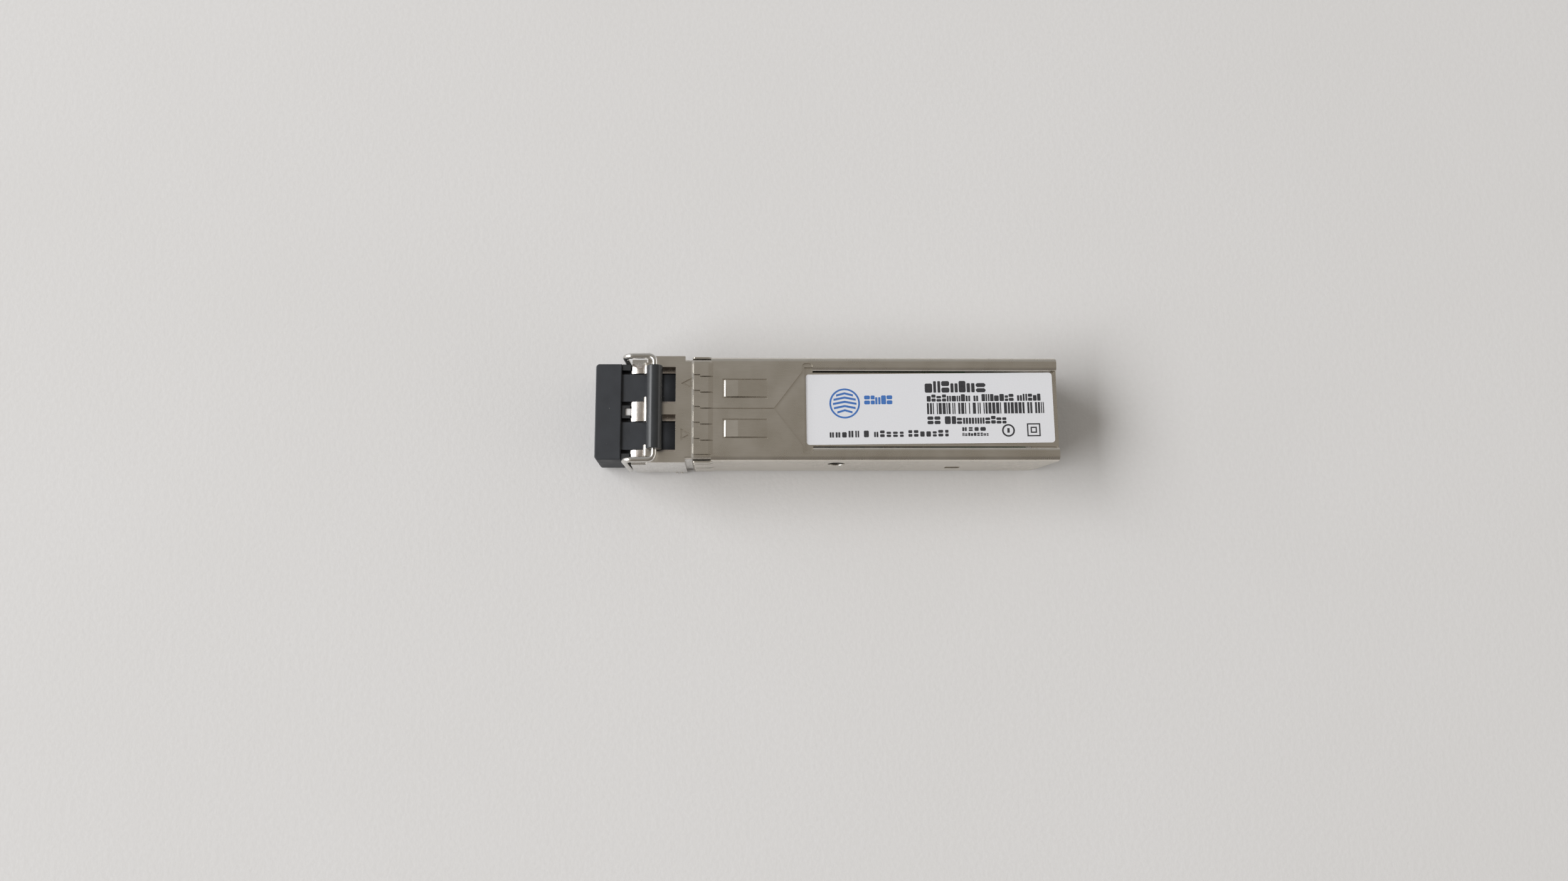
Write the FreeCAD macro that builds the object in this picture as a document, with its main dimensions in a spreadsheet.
import FreeCAD, Part
# Duplex optical transceiver module, small-form-factor pluggable, with a wire bail and a dust plug.
#
# Millimetres.  Every piece is drawn in the module's own standard axes and then placed as one:
# x runs across the module (transmit port at -x, receive port at +x), y runs from the nose to the
# rear connector with 0 at the stop that meets the cage, and z runs up with 0 at the shell's bottom.
# The Placement of each piece moves that frame so that the finished module stands on the ground
# and is centred on the origin.
import math
import os

import Sketcher

Vector = FreeCAD.Vector

OVERLAP = 0.01  # how far joined prisms run into each other
SPARE = 0.1  # how far a shallow cut runs past the face it starts from
BEYOND = 1.0  # how far a deep cut runs past the piece

SIZES = {
    # placing of the standard axes in the part's own frame
    "stop_y": -18.0, "ground_drop": 0.45,
    # envelope of the module
    "body_width": 13.4, "body_height": 8.5, "rear_y": 47.5, "front_width": 13.7,
    # shielding shell, bent from thin sheet
    "shell_sheet": 0.25, "shell_bend": 0.6, "shell_front_y": 3.3, "flank_slant": 2.2,
    "seam_half": 0.08, "vee_start_y": 11.2, "vee_end_y": 14.7, "vee_half": 4.6,
    "flap_inner": 4.95, "flap_roll": 0.45, "flap_play": 0.03,
    "notch_outer": 5.9, "notch_start_y": 14.85, "notch_end_y": 16.2,
    "notch_round": 0.45,
    "tongue_inner": 1.53, "tongue_outer": 3.65, "tongue_tip_y": 4.95, "tongue_knee_y": 6.7,
    "tongue_root_y": 10.4, "tongue_cut": 0.2, "tongue_lift": 0.22, "tongue_curl": 0.35,
    "finger_tip_y": 0.92, "finger_width": 1.42, "finger_pitch": 2.06, "finger_sheet": 0.2,
    "finger_rise": 0.13, "finger_ramp": 0.6, "finger_curl": 0.2, "finger_dip": 0.02,
    "finger_round": 0.32, "finger_step_y": 1.9, "finger_slot": 0.18,
    "side_finger_low": 0.7, "side_finger_split_a": 3.7, "side_finger_split_b": 6.75,
    "side_finger_high": 7.85, "side_finger_gap": 0.25,
    "round_hole_y": 19.25, "round_hole_z": 5.9, "round_hole_radius": 1.1,
    "side_slot_y": 34.55, "side_slot_z": 3.12, "side_slot_half": 0.95, "side_slot_rise": 0.62,
    "floor_window_y": 37.1, "skirt": 0.7, "boss_notch_half": 1.5, "boss_notch_end_y": 5.4,
    # stamped top cover
    "cover_sheet": 0.3, "cover_front_y": -4.7, "cover_rear_y": 47.5, "cover_half": 6.36,
    "bay_half": 5.42, "deck_half": 5.58, "bay_front_y": 15.15, "bay_slit": 0.16, "bay_slit_rear_y": 44.0,
    "bay_groove": 0.2, "bay_groove_rear_y": 47.3, "cover_round": 0.27,
    "window_half": 5.45, "window_rear_y": -1.2, "spine_half": 0.7,
    "catch_front_y": -5.3, "catch_bend": 0.5, "catch_foot_z": 6.7, "catch_back_y": -4.1,
    "catch_centre_half": 1.55, "catch_side_inner": 4.6, "catch_side_outer": 6.0,
    "arrow_centre": 3.3, "arrow_half": 0.78, "arrow_front_y": -0.52, "arrow_rear_y": 0.9,
    "arrow_line": 0.24, "arrow_depth": 0.23,
    # stamped plate over the ports
    "plate_sheet": 0.25, "plate_z": 6.4, "plate_front_y": -7.0, "plate_strip_y": -4.6,
    "plate_strip_rear_y": -3.2, "plate_rear_y": -0.95, "plate_half": 6.15,
    "plate_tongue": 1.27, "plate_side_inner": 4.97, "tab_bend_y": -5.6, "tab_drop": 0.42,
    "tab_play": 0.08, "tab_round": 0.22,
    # die-cast chassis
    "wall_inner": 6.22, "wall_front_y": -6.88, "wall_foot_y": -6.5, "wall_knee_z": 1.5,
    "nose_top_z": 6.3,
    "nose_step_y": -5.0, "wall_full_y": -4.55, "nose_floor_z": 1.3, "cavity_half": 5.6,
    "chassis_half": 6.4, "chassis_rear_y": 46.4, "front_floor_z": 2.0, "rear_floor_z": 1.2,
    "floor_step_y": 5.75, "recess_half": 2.1, "recess_z": 1.65, "recess_end_y": 5.5,
    "ledge_inner": 4.9, "ledge_start_y": 9.2, "ledge_end_y": 36.9,
    "foot_radius": 0.25, "foot_y": -1.55, "foot_length": 0.4, "foot_pitch": 0.62,
    "foot_proud": 0.12, "cradle_play": 0.01,
    "case_round": 0.3,
    # black port block
    "block_half": 6.2, "block_front_y": -8.15, "block_back_y": 1.0, "block_top_z": 7.9,
    "port_pitch": 6.25, "port_side": 4.6, "port_axis_z": 4.1, "port_end_y": 0.0,
    "tube_mouth_y": -4.6, "tube_radius": 1.75, "tube_bore": 1.45,
    "peep_half": 0.47,
    "peep_front_y": -7.72, "peep_rear_y": -7.0, "bearing_inner": 4.8, "bearing_foot_z": 0.3,
    "bearing_front_y": -8.0, "bearing_rear_y": -6.6, "shoulder_y": -0.9,
    # bail wire and its sleeve
    "wire_radius": 0.35, "pivot_y": -7.3, "pivot_z": 0.95, "pivot_play": 0.05,
    "leg_x": 6.65, "foot_bend": 0.5, "knee_y": -7.65, "knee_z": 9.0,
    "knee_bend": 1.1, "bar_y": -3.8,
    "bar_z": 9.3, "bar_bend": 0.8, "crank_drop": 0.177, "crank_tip_x": 2.1,
    "crank_end_x": 3.7, "crank_start_x": 4.6, "crank_bend": 0.8, "crank_play": 0.05,
    "sleeve_radius": 1.0, "sleeve_half": 5.34, "sleeve_edge": 0.15,
    # latch lever, its pin and its leaf spring
    "lever_sheet": 0.45, "lever_z": 0.295, "lever_front_y": -7.8, "fork_rear_y": -6.7,
    "fork_half": 3.9, "fork_slot_half": 0.9, "fork_shoulder": 0.15, "stem_half": 1.85, "tail_half": 1.6,
    "tail_y": 0.4, "lever_rear_y": 5.3, "boss_half": 1.3, "boss_front_y": 2.5,
    "boss_rear_y": 5.1, "boss_ramp_y": 4.2, "knuckle_radius": 0.55,
    "pin_y": -3.5, "pin_z": 0.7, "pin_radius": 0.3, "pin_play": 0.05, "pin_half": 2.9,
    "spring_sheet": 0.1, "spring_half": 0.9, "spring_front_y": 0.7, "spring_rear_y": 4.6,
    "spring_play": 0.03,
    # optical subassemblies
    "barrel_radius": 1.43, "barrel_mouth_y": -4.35, "flange_radius": 1.98,
    "flange_front_y": 1.03, "flange_rear_y": 2.0, "neck_rear_y": 3.4, "ceramic_radius": 0.95,
    "ceramic_bore": 0.63, "ceramic_front_y": -4.2, "ceramic_rear_y": 0.5,
    "can_radius": 1.95, "can_rear_y": 7.4, "header_radius": 2.4, "header_rear_y": 8.2, "clamp_play": 0.05,
    "lead_radius": 0.15, "lead_pitch": 0.9, "lead_rear_y": 11.0,
    # circuit board
    "board_z": 2.25, "board_sheet": 1.0, "board_half": 5.5, "board_front_y": 9.0,
    "board_step_y": 36.7, "card_half": 4.6, "board_rear_y": 44.3, "contact_pitch": 0.8,
    "contact_width": 0.5, "contact_front_y": 41.2, "contact_rear_y": 44.0,
    "contact_sheet": 0.04, "card_chamfer": 0.4, "chip_stand": 0.1, "chip_lead_reach": 0.4,
    "chip_lead_half": 0.11, "chip_lead_rise": 0.12, "component_length": 1.6,
    "component_width": 0.8, "component_height": 0.5, "component_row_x": 4.3,
    "component_first_y": 12.5, "component_pitch": 2.3, "component_rear_y": 31.0,
    # dust plug
    "plug_half": 6.22, "plug_front_y": -11.5, "plug_back_y": -8.2, "plug_top_z": 6.6,
    "plug_round": 0.45, "plug_edge": 0.16, "prong_side": 4.4, "prong_tip_y": -1.1,
    "prong_bore": 1.3, "prong_bore_end_y": -10.3, "prong_socket": 1.9,
    "prong_socket_y": -4.75, "shoulder_width": 0.42, "shoulder_z": 5.6,
    # label
    "label_length": 31.65, "label_width": 9.12, "label_sheet": 0.08, "label_centre_y": 31.17,
    "label_round": 0.4, "label_skew": 0.6, "label_offset": -0.12,
}


class Size:
    """A length or angle that knows both its value and the sheet expression behind it."""

    def __init__(self, value, text):
        self.value = value
        self.text = text

    def __add__(self, other):
        other = as_size(other)
        return Size(self.value + other.value, f"({self.text} + {other.text})")

    def __sub__(self, other):
        other = as_size(other)
        return Size(self.value - other.value, f"({self.text} - {other.text})")

    def __mul__(self, other):
        other = as_size(other)
        return Size(self.value * other.value, f"({self.text} * {other.text})")

    def __truediv__(self, other):
        other = as_size(other)
        return Size(self.value / other.value, f"({self.text} / {other.text})")

    def __neg__(self):
        return Size(-self.value, f"(0 - {self.text})")

    __radd__ = __add__
    __rmul__ = __mul__

    def __rsub__(self, other):
        return as_size(other) - self


def as_size(number):
    """Wrap a plain number so that it can be combined with sizes from the sheet."""
    if isinstance(number, Size):
        return number
    return Size(float(number), repr(float(number)))


class Sheet:
    """The spreadsheet of driving dimensions, read as attributes."""

    def __init__(self, document, sizes):
        self._cells = document.addObject("Spreadsheet::Sheet", "dims")
        for row, (alias, number) in enumerate(sizes.items(), start=1):
            self._cells.set(f"A{row}", alias)
            self._cells.set(f"B{row}", str(number))
            self._cells.setAlias(f"B{row}", alias)
        document.recompute()

    def __getattr__(self, alias):
        return Size(float(self._cells.get(alias)), f"dims.{alias}")


document = FreeCAD.newDocument("optical_transceiver")
d = Sheet(document, SIZES)
pieces = []

QUARTER = math.tan(math.radians(90) / 4)  # bulge of a quarter circle
HALF = 1.0  # bulge of a half circle


# ---------------------------------------------------------------- outlines

def rect(left, right, low, high):
    """Rectangle between two values along each axis of the sketch."""
    return [(left, low, 0), (right, low, 0), (right, high, 0), (left, high, 0)]


def round_rect(left, right, low, high, radius):
    """Rectangle with four equal round corners, drawn anticlockwise."""
    left, right, low, high = (as_size(value) for value in (left, right, low, high))
    return [(left + radius, low, 0), (right - radius, low, QUARTER),
            (right, low + radius, 0), (right, high - radius, QUARTER),
            (right - radius, high, 0), (left + radius, high, QUARTER),
            (left, high - radius, 0), (left, low + radius, QUARTER)]


def mirrored(outline):
    """The same outline on the other side of the module, walked the other way round."""
    flipped = []
    count = len(outline)
    for index in range(count):
        across, along, _ = outline[-index % count]
        bulge = outline[(-index - 1) % count][2]
        flipped.append((-as_size(across), along, bulge))
    return flipped


def both(outline):
    """An outline and its mirror image."""
    return [outline, mirrored(outline)]


def disc(across, along, radius):
    """A circle, marked by its three values."""
    return ("disc", across, along, radius)


# ---------------------------------------------------------------- sketches and prisms

PLANES = {"x": ("YZ_Plane", 1), "y": ("XZ_Plane", -1), "z": ("XY_Plane", 1)}


def place(piece, name):
    """Give a finished piece its label and move it into the part's frame."""
    piece.Label = name
    piece.setExpression("Placement.Base.y", "dims.stop_y")
    piece.setExpression("Placement.Base.z", "dims.ground_drop")
    pieces.append(piece)


def draw_circle(sketch, circle):
    """Add one circle, tied to the origin by its centre and radius."""
    _, across, along, radius = circle
    across, along, radius = as_size(across), as_size(along), as_size(radius)
    centre = Vector(across.value, along.value, 0)
    item = sketch.addGeometry(Part.Circle(centre, Vector(0, 0, 1), radius.value), False)
    limits = [("DistanceX", (-1, 1, item, 3), across), ("DistanceY", (-1, 1, item, 3), along),
              ("Radius", (item,), radius)]
    bind_limits(sketch, limits)


def bind_limits(sketch, limits):
    """Add sized constraints and bind each one to its expression."""
    made = sketch.addConstraint([Sketcher.Constraint(kind, *ends, size.value)
                                 for kind, ends, size in limits])
    for number, (_, _, size) in zip(made, limits):
        if "dims." in size.text:
            sketch.setExpression(f"Constraints[{number}]", size.text)


def draw_outline(sketch, outline):
    """Add a closed outline of straight lines and arcs, each corner tied to the origin."""
    corners = [(as_size(across), as_size(along), bulge) for across, along, bulge in outline]
    points = [Vector(across.value, along.value, 0) for across, along, _ in corners]
    edges = []
    for index, (across, along, bulge) in enumerate(corners):
        start, end = points[index], points[(index + 1) % len(points)]
        if bulge:
            chord = end - start
            side = Vector(chord.y, -chord.x, 0) * (bulge / 2)
            edges.append(Part.Arc(start, (start + end) / 2 + side, end))
        else:
            edges.append(Part.LineSegment(start, end))
    items = sketch.addGeometry(edges, False)

    def end_at(item, point):
        return 1 if sketch.getPoint(item, 1).distanceToPoint(point) < 1e-6 else 2

    joins, limits = [], []
    for index, item in enumerate(items):
        following = (index + 1) % len(items)
        meeting = points[following]
        joins.append(Sketcher.Constraint("Coincident", item, end_at(item, meeting),
                                         items[following], end_at(items[following], meeting)))
        across, along, bulge = corners[index]
        start = end_at(item, points[index])
        limits.append(("DistanceX", (-1, 1, item, start), across))
        limits.append(("DistanceY", (-1, 1, item, start), along))
        if bulge:
            next_across, next_along, _ = corners[following]
            offset = (1 - bulge ** 2) / (4 * bulge)
            if abs((next_across - across).value) > abs((next_along - along).value):
                centre = (along + next_along) / 2 + (next_across - across) * offset
                limits.append(("DistanceY", (-1, 1, item, 3), centre))
            else:
                centre = (across + next_across) / 2 - (next_along - along) * offset
                limits.append(("DistanceX", (-1, 1, item, 3), centre))
    sketch.addConstraint(joins)
    bind_limits(sketch, limits)


class Piece:
    """A PartDesign body made of prisms, each sketched on one of its own origin planes."""

    def __init__(self, name):
        self.name = name
        self.body = document.addObject("PartDesign::Body", name)
        self.body.AllowCompound = True
        place(self.body, name)

    def _sketch(self, normal, level, outlines):
        role, direction = PLANES[normal]
        plane = next(item for item in self.body.Origin.OriginFeatures if item.Role == role)
        sketch = self.body.newObject("Sketcher::SketchObject", self.name + "_sketch")
        sketch.AttachmentSupport = (plane, [""])
        sketch.MapMode = "FlatFace"
        offset = as_size(level) * direction
        sketch.AttachmentOffset = FreeCAD.Placement(Vector(0, 0, offset.value), FreeCAD.Rotation())
        if "dims." in offset.text:
            sketch.setExpression("AttachmentOffset.Base.z", offset.text)
        for outline in outlines:
            if isinstance(outline, tuple):
                draw_circle(sketch, outline)
            else:
                draw_outline(sketch, outline)
        return sketch, direction

    def _prism(self, kind, normal, low, high, outlines, backwards):
        sketch, direction = self._sketch(normal, low, outlines)
        feature = self.body.newObject(kind, self.name + kind.split("::")[1])
        feature.Profile = sketch
        feature.Reversed = (direction < 0) != backwards
        length = as_size(high) - low
        feature.Length = length.value
        if "dims." in length.text:
            feature.setExpression("Length", length.text)
        document.recompute()
        return feature

    def add(self, normal, low, high, *outlines):
        """Add material between two levels along an axis."""
        return self._prism("PartDesign::Pad", normal, low, high, outlines, False)

    def cut(self, normal, low, high, *outlines):
        """Remove material between two levels along an axis, and make sure that some went."""
        before = self.body.Shape.Volume
        feature = self._prism("PartDesign::Pocket", normal, low, high, outlines, True)
        if self.body.Shape.Volume > before - 1e-6:
            raise RuntimeError(f"a pocket in {self.name} removed nothing")
        return feature

    def round_edges(self, radius, wanted):
        """Fillet the edges that the test picks out."""
        base = self.body.Tip
        names = [f"Edge{number}" for number, edge in enumerate(base.Shape.Edges, start=1)
                 if wanted(edge)]
        fillet = self.body.newObject("PartDesign::Fillet", self.name + "_round")
        fillet.Base = (base, names)
        fillet.Radius = radius.value
        fillet.setExpression("Radius", radius.text)
        document.recompute()
        return fillet


def runs_along(edge, direction):
    """True for a straight edge along the given unit vector."""
    if not isinstance(edge.Curve, Part.Line):
        return False
    return abs(edge.Curve.Direction.dot(direction)) > 0.999


def middle(edge):
    """The point halfway along an edge."""
    return edge.valueAt((edge.FirstParameter + edge.LastParameter) / 2)


def block(name, left, right, front, back, low, high):
    """A Part box between two values along each axis."""
    box = document.addObject("Part::Box", name)
    left, front, low = as_size(left), as_size(front), as_size(low)
    for target, size in (("Length", right - left), ("Width", back - front),
                         ("Height", high - low), ("Placement.Base.x", left),
                         ("Placement.Base.y", front), ("Placement.Base.z", low)):
        box.setExpression(target, as_size(size).text)
    return box


def gather(name, shapes):
    """One piece made of several Part shapes."""
    joined = document.addObject("Part::MultiFuse", name)
    joined.Shapes = shapes
    place(joined, name)
    return joined


# ---------------------------------------------------------------- shielding shell

def shell_fingers(shell):
    """Spring fingers all round the shell's front edge, each bowed outward and wider at its root."""
    root_y, tip_y, half_width = d.shell_front_y + d.shell_sheet, d.finger_tip_y, d.finger_width / 2
    ramp_y, curl_y, bow = root_y - d.finger_ramp, tip_y + d.finger_curl, 0.3

    def bowed(face):
        """Section of a finger that leaves the given outer face, stands proud and curls in."""
        crest, dip, sheet = face + d.finger_rise, face - d.finger_dip, d.finger_sheet
        return [(root_y, face, 0), (ramp_y, crest, 0), (curl_y, crest, bow), (tip_y, dip, 0),
                (tip_y, dip - sheet, -bow), (curl_y, crest - sheet, 0),
                (ramp_y, crest - sheet, 0), (root_y, face - sheet, 0)]

    def turned_over(section):
        """The same finger under the shell."""
        return [(along, d.body_height - height, -bulge) for along, height, bulge in section]

    reach = d.finger_pitch * 2.5 + half_width
    shell.add("x", -reach, reach, bowed(d.body_height))
    wide, narrow, step_y = (d.finger_pitch - d.finger_width) / 2, d.finger_slot / 2, d.finger_step_y
    for number in (-2, -1, 0, 1, 2):
        across = d.finger_pitch * number
        gap = [(across - wide, tip_y - BEYOND, 0), (across + wide, tip_y - BEYOND, 0),
               (across + wide, step_y, 0), (across + narrow, step_y, 0),
               (across + narrow, root_y, 0), (across - narrow, root_y, 0),
               (across - narrow, step_y, 0), (across - wide, step_y, 0)]
        shell.cut("z", d.body_height - BEYOND, d.body_height + BEYOND, gap)
    for number in (-2.5, -1.5, 1.5, 2.5):
        across = d.finger_pitch * number
        shell.add("x", across - half_width, across + half_width,
                  turned_over(bowed(d.body_height)))

    splits = (d.side_finger_low, d.side_finger_split_a, d.side_finger_split_b,
              d.side_finger_high + d.side_finger_gap)
    side = [(across, along, -bulge) for along, across, bulge in bowed(d.body_width / 2)]
    for low, high in zip(splits, splits[1:]):
        shell.add("z", low, high - d.side_finger_gap, *both(side))

    shell.round_edges(d.finger_round, lambda e: abs(middle(e).y - tip_y.value) < 0.001
                      and e.Length < d.shell_sheet.value)


def shell_tongues(shell):
    """Two tongues in the front flaps, cut free on three sides and bent up towards the nose."""
    top, under = d.body_height, d.body_height - d.shell_sheet
    frame = rect(d.tongue_inner - d.tongue_cut, d.tongue_outer + d.tongue_cut,
                 d.tongue_tip_y - d.tongue_cut, d.tongue_root_y)
    shell.cut("z", under - SPARE, top + SPARE, *both(frame))
    root_y, knee_y, tip_y = d.tongue_root_y + OVERLAP, d.tongue_knee_y, d.tongue_tip_y
    curl_y, lift = tip_y + d.tongue_curl, d.tongue_lift
    curl_lift, bow = lift * 0.5, 0.25
    section = [(root_y, under, 0), (root_y, top, 0), (knee_y, top + lift, 0),
               (curl_y, top + curl_lift, bow), (tip_y, top, 0),
               (tip_y, under, -bow), (curl_y, under + curl_lift, 0),
               (knee_y, under + lift, 0)]
    shell.add("x", d.tongue_inner, d.tongue_outer, section)
    shell.add("x", -d.tongue_outer, -d.tongue_inner, section)


def shell_flap_lips(shell):
    """Inner edges of the top flaps, rolled down onto the cover on both sides of the label."""
    top, sheet, inner, roll = d.body_height, d.shell_sheet, d.flap_inner, d.flap_roll
    foot = top - sheet - d.cover_sheet + d.flap_play
    corner = rect(inner - SPARE, inner + roll, d.notch_end_y, d.rear_y + BEYOND)
    shell.cut("z", top - sheet - SPARE, top + BEYOND, *both(corner))
    section = [(inner + roll + OVERLAP, top - sheet, 0), (inner + roll + OVERLAP, top, 0),
               (inner + roll, top, QUARTER), (inner, top - roll, 0), (inner, foot, 0),
               (inner + sheet, foot, 0), (inner + sheet, top - roll, -QUARTER),
               (inner + roll, top - sheet, 0)]
    shell.add("y", d.notch_end_y, d.rear_y, section)
    shell.add("y", d.notch_end_y, d.rear_y, mirrored(section))


def make_emi_shell():
    """Shielding shell: one sheet wrapped round the module and folded into flaps on top."""
    shell = Piece("emi_shell")
    half, top, sheet = d.body_width / 2, d.body_height, d.shell_sheet
    shell.add("y", d.shell_front_y, d.rear_y,
              round_rect(-half, half, 0, top, d.shell_bend),
              round_rect(sheet - half, half - sheet, sheet, top - sheet, d.shell_bend - sheet))

    rear = d.rear_y + BEYOND
    label_bay = [(0, d.vee_start_y, 0), (d.vee_half, d.vee_end_y, 0),
                 (d.flap_inner, d.notch_start_y, 0), (d.flap_inner, rear, 0),
                 (-d.flap_inner, rear, 0), (-d.flap_inner, d.notch_start_y, 0),
                 (-d.vee_half, d.vee_end_y, 0)]
    shell.cut("z", top - sheet - SPARE, top + BEYOND, label_bay)
    shell.cut("z", top - sheet - SPARE, top + BEYOND,
              *both(round_rect(d.flap_inner - d.notch_round * 2, d.notch_outer,
                               d.notch_start_y, d.notch_end_y, d.notch_round)))
    shell_flap_lips(shell)
    shell.cut("z", top - sheet - SPARE, top + BEYOND,
              rect(-d.seam_half, d.seam_half, d.shell_front_y - BEYOND, d.vee_start_y + SPARE))

    shell.cut("x", -half - BEYOND, half + BEYOND,
              [(d.rear_y - d.flank_slant, -BEYOND, 0), (d.rear_y + BEYOND, -BEYOND, 0),
               (d.rear_y + BEYOND, top, 0), (d.rear_y, top, 0),
               (d.rear_y - d.flank_slant, 0, 0)])
    floor_half = half - d.skirt
    shell.cut("z", -BEYOND, sheet + SPARE,
              rect(-floor_half, floor_half, d.floor_window_y, d.rear_y + BEYOND))
    shell.cut("z", -BEYOND, sheet + SPARE,
              rect(-d.boss_notch_half, d.boss_notch_half, d.shell_front_y - BEYOND,
                   d.boss_notch_end_y))

    slot_half, slot_rise = d.side_slot_half, d.side_slot_rise
    shell.cut("x", -half - BEYOND, half + BEYOND,
              disc(d.round_hole_y, d.round_hole_z, d.round_hole_radius),
              rect(d.side_slot_y - slot_half, d.side_slot_y + slot_half,
                   d.side_slot_z - slot_rise, d.side_slot_z + slot_rise))
    shell_tongues(shell)
    shell_fingers(shell)


# ---------------------------------------------------------------- top cover and port plate

def arrow(tip_y, base_y, inset):
    """Outline of a stamped triangle, pulled in from its edge by a share of its line."""
    inward = 1 if base_y.value > tip_y.value else -1
    centre, half = d.arrow_centre, d.arrow_half
    line = d.arrow_line * inset
    tip_shift, side_shift = line * (2.1 * inward), line * 1.7
    return [(centre, tip_y + tip_shift, 0),
            (centre + half - side_shift, base_y - line * inward, 0),
            (centre - half + side_shift, base_y - line * inward, 0)]


def make_top_cover():
    """Top cover: sunk label bay at the rear, port collar in front, catch plates bent down."""
    cover = Piece("top_cover")
    top = d.body_height - d.shell_sheet
    under = top - d.cover_sheet
    front_half = d.front_width / 2
    cover.add("z", under, top,
              [(-d.cover_half, d.cover_rear_y, 0), (-d.cover_half, 0, 0), (-front_half, 0, 0),
               (-front_half, d.cover_front_y, 0), (front_half, d.cover_front_y, 0),
               (front_half, 0, 0), (d.cover_half, 0, 0), (d.cover_half, d.cover_rear_y, 0)])
    cover.cut("z", under - SPARE, top + SPARE,
              *both(rect(d.spine_half, d.window_half, d.cover_front_y - BEYOND, d.window_rear_y)))
    bay, bay_front, sheet = d.bay_half, d.bay_front_y, d.cover_sheet
    cover.cut("z", under - SPARE, top + SPARE,
              rect(-bay, bay, bay_front, d.cover_rear_y + BEYOND))
    cover.add("z", under - sheet, under,
              rect(-d.deck_half, d.deck_half, bay_front - sheet, d.cover_rear_y))
    slit_inner, slit_front = d.flap_inner - d.bay_slit, d.notch_end_y
    cover.cut("z", under - sheet - SPARE, under + SPARE,
              *both(rect(slit_inner, bay, slit_front, d.bay_slit_rear_y)))
    cover.cut("z", under - d.bay_groove, under + SPARE,
              *both(rect(slit_inner, d.flap_inner, slit_front, d.bay_groove_rear_y)))

    bend = d.catch_bend
    inner_bend = bend - d.cover_sheet
    front, back = d.catch_front_y, d.catch_front_y + d.cover_sheet
    section = [(d.catch_back_y, under, 0), (d.catch_back_y, top, 0),
               (front + bend, top, QUARTER), (front, top - bend, 0),
               (front, d.catch_foot_z, 0), (back, d.catch_foot_z, 0),
               (back, under - inner_bend, -QUARTER), (back + inner_bend, under, 0)]
    cover.add("x", -d.catch_centre_half, d.catch_centre_half, section)
    cover.add("x", d.catch_side_inner, d.catch_side_outer, section)
    cover.add("x", -d.catch_side_outer, -d.catch_side_inner, section)

    cover.round_edges(d.cover_round, lambda e: runs_along(e, Vector(0, 1, 0))
                      and abs(middle(e).z - top.value) < 0.01
                      and abs(abs(middle(e).x) - d.cover_half.value) < 0.01)

    front_y, rear_y = d.arrow_front_y, d.arrow_rear_y
    cover.cut("z", top - d.arrow_depth, top + SPARE,
              mirrored(arrow(front_y, rear_y, 0)), mirrored(arrow(front_y, rear_y, 1)))
    cover.cut("z", top - d.arrow_depth, top + SPARE,
              arrow(rear_y, front_y, 0), arrow(rear_y, front_y, 1))


def make_lc_port_plate():
    """Stamped plate over the ports: a frame with three front tabs that are bent down."""
    plate = Piece("lc_port_plate")
    low, high = d.plate_z, d.plate_z + d.plate_sheet
    front, rear = d.plate_front_y, d.plate_rear_y
    inner, tongue, half = d.plate_side_inner, d.plate_tongue, d.plate_half
    bend, drop = d.tab_bend_y, d.tab_drop
    plate.add("z", low, high, rect(-half, half, bend, rear))
    for opening_front, opening_rear in ((bend - BEYOND, d.plate_strip_y),
                                        (d.plate_strip_rear_y, rear + BEYOND)):
        plate.cut("z", low - SPARE, high + SPARE,
                  *both(rect(tongue, inner, opening_front, opening_rear)))
    bow = math.tan(math.atan2(drop.value, (bend - front).value) / 2)
    tab = [(bend, low, 0), (bend, high, bow), (front, high - drop, 0), (front, low - drop, -bow)]
    for left, right in ((-half, -inner), (-tongue, tongue), (inner, half)):
        plate.add("x", left, right, tab)
    plate.round_edges(d.tab_round, lambda e: abs(middle(e).y - front.value) < 0.001
                      and e.Length < tongue.value / 2)


# ---------------------------------------------------------------- chassis

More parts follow.
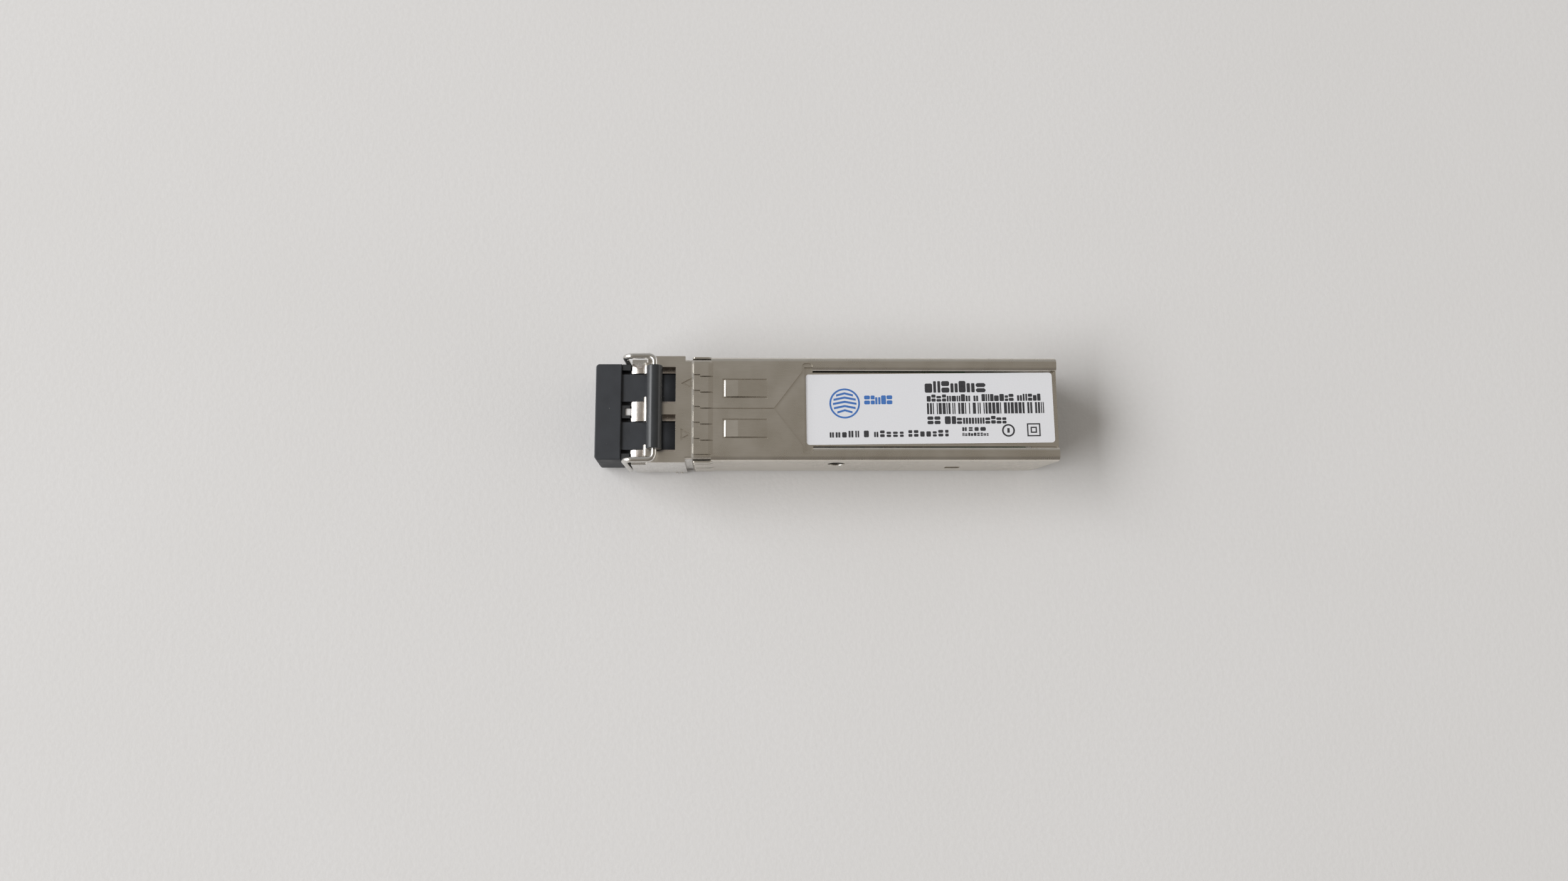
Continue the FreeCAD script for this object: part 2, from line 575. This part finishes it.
def make_chassis():
    """Die-cast chassis: nose cheeks, lever recess in the floor, and a tray for the board."""
    chassis = Piece("chassis")
    top = d.body_height - d.shell_sheet - d.cover_sheet
    sheet, half, outer = d.shell_sheet, d.chassis_half, d.front_width / 2
    cavity = d.cavity_half

    chassis.add("y", 0, d.chassis_rear_y,
                [(-half, sheet, 0), (half, sheet, 0), (half, top, 0), (cavity, top, 0),
                 (cavity, d.rear_floor_z, 0), (-cavity, d.rear_floor_z, 0), (-cavity, top, 0),
                 (-half, top, 0)])
    chassis.add("y", 0, d.floor_step_y,
                rect(-cavity, cavity, sheet, d.front_floor_z))
    cheek = [(d.wall_foot_y, 0, 0), (d.wall_front_y, d.wall_knee_z, 0),
             (d.wall_front_y, d.nose_top_z, 0), (d.nose_step_y, d.nose_top_z, 0),
             (d.wall_full_y, top, 0), (OVERLAP, top, 0), (OVERLAP, 0, 0)]
    chassis.add("x", d.wall_inner, outer, cheek)
    chassis.add("x", -outer, -d.wall_inner, cheek)
    chassis.add("y", d.wall_foot_y, OVERLAP, rect(-outer, outer, 0, d.nose_floor_z))

    chassis.cut("y", d.wall_foot_y - BEYOND, d.recess_end_y,
                rect(-d.recess_half, d.recess_half, -BEYOND, d.recess_z))
    chassis.cut("x", -d.pin_half, d.pin_half,
                disc(d.pin_y, d.pin_z, d.pin_radius + d.cradle_play))
    for low, high in ((d.ledge_inner, cavity), (-cavity, -d.ledge_inner)):
        chassis.add("x", low, high,
                    rect(d.ledge_start_y, d.ledge_end_y, d.rear_floor_z - OVERLAP, d.board_z))
    rear = d.chassis_rear_y
    chassis.cut("z", -BEYOND, d.board_z,
                rect(-d.ledge_inner, d.ledge_inner, d.floor_window_y, rear + BEYOND))
    chassis.cut("x", -half - BEYOND, half + BEYOND,
                [(rear - d.flank_slant, -BEYOND, 0), (rear + BEYOND, -BEYOND, 0),
                 (rear + BEYOND, top, 0), (rear, top, 0),
                 (rear - d.flank_slant, sheet, 0)])
    chassis.round_edges(d.case_round, lambda e: runs_along(e, Vector(0, 1, 0))
                        and abs(middle(e).z - sheet.value) < 0.01
                        and abs(abs(middle(e).x) - half.value) < 0.01)
    foot_x = outer - d.foot_radius + d.foot_proud
    for front in (d.foot_y, d.foot_y + d.foot_pitch):
        chassis.add("y", front, front + d.foot_length,
                    disc(foot_x, 0, d.foot_radius), disc(-foot_x, 0, d.foot_radius))


# ---------------------------------------------------------------- port block

def make_lc_receptacle():
    """Black moulded port block: two square ports, open on top for the plugs' latches."""
    ports = Piece("lc_receptacle")
    half, front, back = d.block_half, d.block_front_y, d.block_back_y
    x, z, side = d.port_pitch / 2, d.port_axis_z, d.port_side
    floor, roof = d.nose_floor_z, d.block_top_z
    ports.add("y", front, 0, rect(-half, half, floor, d.plate_z))
    ports.add("y", d.shoulder_y, 0, rect(-half, half, floor, roof))
    ports.add("y", -SPARE, back, rect(-d.cavity_half, d.cavity_half, d.front_floor_z, roof))
    ports.add("y", front, d.wall_foot_y - d.cradle_play,
              rect(-half, half, floor - d.bearing_foot_z, floor + OVERLAP))
    ports.add("y", d.bearing_front_y, d.bearing_rear_y,
              *both(rect(d.bearing_inner, half, d.bearing_foot_z, floor)))

    ports.cut("y", front - BEYOND, d.port_end_y,
              *both(rect(x - side / 2, x + side / 2, z - side / 2, z + side / 2)))
    ports.cut("z", floor - BEYOND, roof,
              rect(-d.peep_half, d.peep_half, d.peep_front_y, d.peep_rear_y))
    ports.cut("z", d.plate_z - d.tab_drop - d.tab_play, d.plate_z + SPARE,
              rect(-half - SPARE, half + SPARE, d.plate_front_y - d.tab_play, d.tab_bend_y))
    ports.add("y", d.tube_mouth_y, OVERLAP, disc(x, z, d.tube_radius), disc(-x, z, d.tube_radius))
    ports.cut("y", d.tube_mouth_y - SPARE, back + SPARE,
              disc(x, z, d.tube_bore), disc(-x, z, d.tube_bore))

    groove = d.wire_radius + d.pivot_play
    ports.cut("x", -half - SPARE, half + SPARE,
              [(d.pivot_y - groove, 0, 0), (d.pivot_y + groove, 0, 0),
               (d.pivot_y + groove, d.pivot_z, HALF), (d.pivot_y - groove, d.pivot_z, 0)])
    swing = d.crank_drop * math.sqrt(2) + groove + d.crank_play
    ports.cut("x", d.crank_tip_x - groove / 2, d.bearing_inner,
              rect(d.pivot_y - swing, d.pivot_y + swing, 0, d.pivot_z + swing))
    ports.cut("x", -d.bearing_inner, groove / 2 - d.crank_tip_x,
              rect(d.pivot_y - swing, d.pivot_y + swing, 0, d.pivot_z + swing))


# ---------------------------------------------------------------- bail

def rounded_path(corners, radii):
    """Wire through the corners, with an arc of the given radius at each inner corner."""
    edges, start = [], corners[0]
    for before, corner, after, radius in zip(corners, corners[1:], corners[2:], radii):
        toward = (before - corner).normalize()
        away = (after - corner).normalize()
        half_angle = toward.getAngle(away) / 2
        setback = radius / math.tan(half_angle)
        bisector = (toward + away).normalize()
        centre = corner + bisector * (radius / math.sin(half_angle))
        first, last = corner + toward * setback, corner + away * setback
        edges.append(Part.LineSegment(start, first).toShape())
        edges.append(Part.Arc(first, centre - bisector * radius, last).toShape())
        start = last
    edges.append(Part.LineSegment(start, corners[-1]).toShape())
    return Part.Wire(edges)


def make_bail_wire():
    """Bail: one wire with cranked feet, two legs, two side runs and a cross bar."""
    leg, drop = d.leg_x.value, d.crank_drop.value
    pivot_y, pivot_z = d.pivot_y.value, d.pivot_z.value
    bar_y, bar_z = d.bar_y.value, d.bar_z.value
    radius = d.wire_radius.value
    half = [Vector(d.crank_tip_x.value, pivot_y - drop, pivot_z + drop),
            Vector(d.crank_end_x.value, pivot_y - drop, pivot_z + drop),
            Vector(d.crank_start_x.value, pivot_y, pivot_z),
            Vector(leg, pivot_y, pivot_z),
            Vector(leg, d.knee_y.value, d.knee_z.value),
            Vector(leg, bar_y, bar_z)]
    bends = [d.crank_bend.value] * 2 + [d.foot_bend.value, d.knee_bend.value, d.bar_bend.value]
    other_half = [Vector(-point.x, point.y, point.z) for point in reversed(half)]
    path = rounded_path(half + other_half, bends + bends[::-1])
    ring = Part.Wire(Part.makeCircle(radius, half[0], Vector(1, 0, 0)))
    wire = document.addObject("Part::Feature", "bail_wire")
    wire.Shape = path.makePipeShell([ring], True, False)
    expected = math.pi * radius ** 2 * path.Length
    if abs(wire.Shape.Volume - expected) > 0.01 * expected:
        raise RuntimeError("the bail wire's volume does not match its length")
    place(wire, "bail_wire")


def make_bail_sleeve():
    """Soft black grip sleeve on the bail's cross bar."""
    sleeve = Piece("bail_sleeve")
    sleeve.add("x", -d.sleeve_half, d.sleeve_half,
               disc(d.bar_y, d.bar_z, d.sleeve_radius), disc(d.bar_y, d.bar_z, d.wire_radius))
    sleeve.round_edges(d.sleeve_edge, lambda e: isinstance(e.Curve, Part.Circle)
                       and e.Curve.Radius > d.wire_radius.value * 2)


# ---------------------------------------------------------------- latch

def make_latch_lever():
    """Rocking lever: fork under the bail's cranks, knuckle on its pin, boss for the cage."""
    lever = Piece("latch_lever")
    low, high = d.lever_z, d.lever_z + d.lever_sheet
    fork, slot, stem, tail = d.fork_half, d.fork_slot_half, d.stem_half, d.tail_half
    front, fork_rear, rear = d.lever_front_y, d.fork_rear_y, d.lever_rear_y
    lever.add("z", low, high,
              [(-fork, front, 0), (-slot, front, 0), (-slot, fork_rear, 0), (slot, fork_rear, 0),
               (slot, front, 0), (fork, front, 0), (fork, fork_rear, 0),
               (stem, fork_rear + d.fork_shoulder, 0), (stem, d.tail_y, 0), (tail, d.tail_y, 0),
               (tail, rear, 0), (-tail, rear, 0), (-tail, d.tail_y, 0), (-stem, d.tail_y, 0),
               (-stem, fork_rear + d.fork_shoulder, 0), (-fork, fork_rear, 0)])
    lever.add("x", -stem, stem, disc(d.pin_y, d.pin_z, d.knuckle_radius))
    lever.cut("x", -stem - SPARE, stem + SPARE, disc(d.pin_y, d.pin_z, d.pin_radius + d.pin_play))
    lever.add("x", -d.boss_half, d.boss_half,
              [(d.boss_front_y, low + SPARE, 0), (d.boss_front_y, -d.ground_drop, 0),
               (d.boss_ramp_y, -d.ground_drop, 0), (d.boss_rear_y, low - SPARE, 0),
               (d.boss_rear_y, low + SPARE, 0)])


def make_latch_pin():
    """Pin that the lever rocks on."""
    pin = Piece("latch_pin")
    pin.add("x", -d.pin_half, d.pin_half, disc(d.pin_y, d.pin_z, d.pin_radius))


def make_latch_spring():
    """Bowed leaf between the chassis and the lever's tail."""
    spring = Piece("latch_spring")
    sheet, gap = d.spring_sheet, d.recess_z - d.lever_z - d.lever_sheet
    upper = d.recess_z - d.cradle_play
    span = d.spring_rear_y - d.spring_front_y
    bow = 2 * (gap - sheet - d.spring_play).value / span.value
    spring.add("x", -d.spring_half, d.spring_half,
               [(d.spring_front_y, upper, 0), (d.spring_front_y, upper - sheet, bow),
                (d.spring_rear_y, upper - sheet, 0), (d.spring_rear_y, upper, -bow)])


# ---------------------------------------------------------------- optical subassemblies

def make_optics(prefix, side):
    """One optical subassembly: barrel, ceramic sleeve, sealed can and its leads."""
    x, z = d.port_pitch / 2 * side, d.port_axis_z

    barrel = Piece(prefix + "_barrel")
    barrel.add("y", d.barrel_mouth_y, d.neck_rear_y, disc(x, z, d.barrel_radius))
    barrel.add("y", d.flange_front_y, d.flange_rear_y, disc(x, z, d.flange_radius))
    barrel.cut("y", d.barrel_mouth_y - BEYOND, d.ceramic_rear_y, disc(x, z, d.ceramic_radius))

    ceramic = Piece(prefix + "_ceramic_sleeve")
    ceramic.add("y", d.ceramic_front_y, d.ceramic_rear_y,
                disc(x, z, d.ceramic_radius), disc(x, z, d.ceramic_bore))

    can = Piece(prefix + "_can")
    can.add("y", d.neck_rear_y, d.can_rear_y, disc(x, z, d.can_radius))
    can.add("y", d.can_rear_y, d.header_rear_y, disc(x, z, d.header_radius))

    leads = Piece(prefix + "_leads")
    lead_z = d.board_z + d.board_sheet + d.lead_radius
    rods = [disc(x + d.lead_pitch * number, lead_z, d.lead_radius) for number in (-1, 0, 1)]
    leads.add("y", d.header_rear_y, d.lead_rear_y, *rods)


def make_osa_clamp():
    """Saddle that holds both barrels down behind the port block."""
    clamp = Piece("osa_clamp")
    x, z = d.port_pitch / 2, d.port_axis_z
    play, radius = d.clamp_play, d.barrel_radius + d.cradle_play
    clamp.add("y", d.flange_rear_y + play, d.neck_rear_y - play,
              rect(play - d.cavity_half, d.cavity_half - play, z, d.block_top_z))
    clamp.cut("y", 0, d.neck_rear_y, disc(x, z, radius), disc(-x, z, radius))


# ---------------------------------------------------------------- circuit board

def make_pcb():
    """Circuit board, stepped in to its card edge."""
    board = Piece("pcb")
    wide, card, step = d.board_half, d.card_half, d.board_step_y
    front, rear, chamfer = d.board_front_y, d.board_rear_y, d.card_chamfer
    board.add("z", d.board_z, d.board_z + d.board_sheet,
              [(-wide, front, 0), (wide, front, 0), (wide, step, 0), (card, step, 0),
               (card, rear - chamfer, 0), (card - chamfer, rear, 0), (chamfer - card, rear, 0),
               (-card, rear - chamfer, 0), (-card, step, 0), (-wide, step, 0)])


def make_edge_contacts():
    """Gold contact pads on both faces of the card edge."""
    pads = []
    sheet, wide = d.contact_sheet, d.contact_width
    top = d.board_z + d.board_sheet
    for low in (top, d.board_z - sheet):
        for number in (-4.5, -3.5, -2.5, -1.5, -0.5, 0.5, 1.5, 2.5, 3.5, 4.5):
            x = d.contact_pitch * number
            pads.append(block("contact", x - wide / 2, x + wide / 2, d.contact_front_y,
                              d.contact_rear_y, low, low + sheet))
    gather("edge_contacts", pads)


def make_chip(name, centre_x, centre_y, width, length, height, leads_per_side):
    """A flat chip on the board, with gull-wing leads along its two long sides."""
    top = d.board_z + d.board_sheet
    parts = [block(name + "_body", centre_x - width / 2, centre_x + width / 2,
                   centre_y - length / 2, centre_y + length / 2,
                   top + d.chip_stand, top + d.chip_stand + height)]
    pitch = length / (leads_per_side + 1)
    for number in range(1, leads_per_side + 1):
        lead_y = centre_y - length / 2 + pitch * number
        reach = d.chip_lead_reach + width / 2
        parts.append(block(name + "_lead", centre_x - reach, centre_x + reach,
                           lead_y - d.chip_lead_half, lead_y + d.chip_lead_half,
                           top, top + d.chip_stand + d.chip_lead_rise))
    gather(name, parts)


def make_chip_components():
    """Small resistors and capacitors in two rows beside the chips."""
    top = d.board_z + d.board_sheet
    half_long, half_short = d.component_length / 2, d.component_width / 2
    spots = [(d.component_row_x * side, d.component_first_y + d.component_pitch * step)
             for side in (-1, 1) for step in range(9)]
    spots += [(d.component_length * step, d.component_rear_y) for step in (-1, 0, 1)]
    parts = [block("component", x - half_short, x + half_short, y - half_long, y + half_long,
                   top, top + d.component_height) for x, y in spots]
    gather("chip_components", parts)


# ---------------------------------------------------------------- dust plug and label

def make_dust_plug():
    """Rubber plug: one grip and a hollow square prong for each port."""
    plug = Piece("dust_plug")
    front, back, half = d.plug_front_y, d.plug_back_y, d.plug_half
    plug.add("z", 0, d.plug_top_z, rect(-half, half, front, back))
    plug.round_edges(d.plug_round, lambda e: runs_along(e, Vector(0, 0, 1))
                     and middle(e).y < (front.value + back.value) / 2)
    plug.round_edges(d.plug_edge, lambda e: abs(middle(e).z - d.plug_top_z.value / 2) > 3)
    x, z, reach = d.port_pitch / 2, d.port_axis_z, d.prong_side / 2
    plug.add("y", back - SPARE, d.prong_tip_y,
             *both(round_rect(x - reach, x + reach, z - reach, z + reach, d.plug_edge)))
    end, width = d.prong_tip_y + BEYOND, d.shoulder_width
    for left in (x - reach, x + reach - width):
        plug.cut("y", back, end, *both(rect(left, left + width, d.shoulder_z, z + reach + SPARE)))
    plug.cut("y", d.prong_bore_end_y, end, disc(x, z, d.prong_bore), disc(-x, z, d.prong_bore))
    plug.cut("y", d.prong_socket_y, end, disc(x, z, d.prong_socket), disc(-x, z, d.prong_socket))


def make_label():
    """Paper label in the cover's bay, stuck on a little askew."""
    label = Piece("product_label")
    reach, half = d.label_length / 2, d.label_width / 2
    low = d.body_height - d.shell_sheet - d.cover_sheet
    label.add("z", low, low + d.label_sheet, round_rect(-half, half, -reach, reach, d.label_round))
    label.body.Placement = FreeCAD.Placement(Vector(0, 0, 0),
                                             FreeCAD.Rotation(Vector(0, 0, 1), 0))
    label.body.setExpression("Placement.Base.x", "dims.label_offset")
    label.body.setExpression("Placement.Base.y", "dims.stop_y + dims.label_centre_y")
    label.body.setExpression("Placement.Rotation.Angle", "dims.label_skew")


make_emi_shell()
make_top_cover()
make_lc_port_plate()
make_chassis()
make_lc_receptacle()
make_bail_wire()
make_bail_sleeve()
make_latch_lever()
make_latch_pin()
make_latch_spring()
make_optics("tosa", -1)
make_optics("rosa", 1)
make_osa_clamp()
make_pcb()
make_edge_contacts()
make_chip("laser_driver_chip", -1.9, 15.5, 3.0, 3.6, 0.9, 5)
make_chip("receiver_amp_chip", 2.1, 19.5, 2.6, 3.0, 0.9, 4)
make_chip("memory_chip", -1.2, 25.5, 3.0, 4.4, 1.0, 7)
make_chip_components()
make_dust_plug()
make_label()

document.recompute()
for item in document.Objects:
    if "Invalid" in item.State or "Error" in item.State:
        raise RuntimeError(f"{item.Label} is in state {item.State}")
for piece in pieces:
    if piece.Shape.isNull() or not piece.Shape.isValid():
        raise RuntimeError(f"{piece.Label} has no valid shape")

os.makedirs("parts", exist_ok=True)
for piece in pieces:
    piece.Shape.exportStep(f"parts/{piece.Label}.step")
    box = piece.Shape.BoundBox
    print(f"{piece.Label:22s} volume {piece.Shape.Volume:9.3f}  solids {len(piece.Shape.Solids)}"
          f"  x {box.XMin:7.2f} {box.XMax:6.2f}  y {box.YMin:7.2f} {box.YMax:6.2f}"
          f"  z {box.ZMin:6.2f} {box.ZMax:6.2f}")
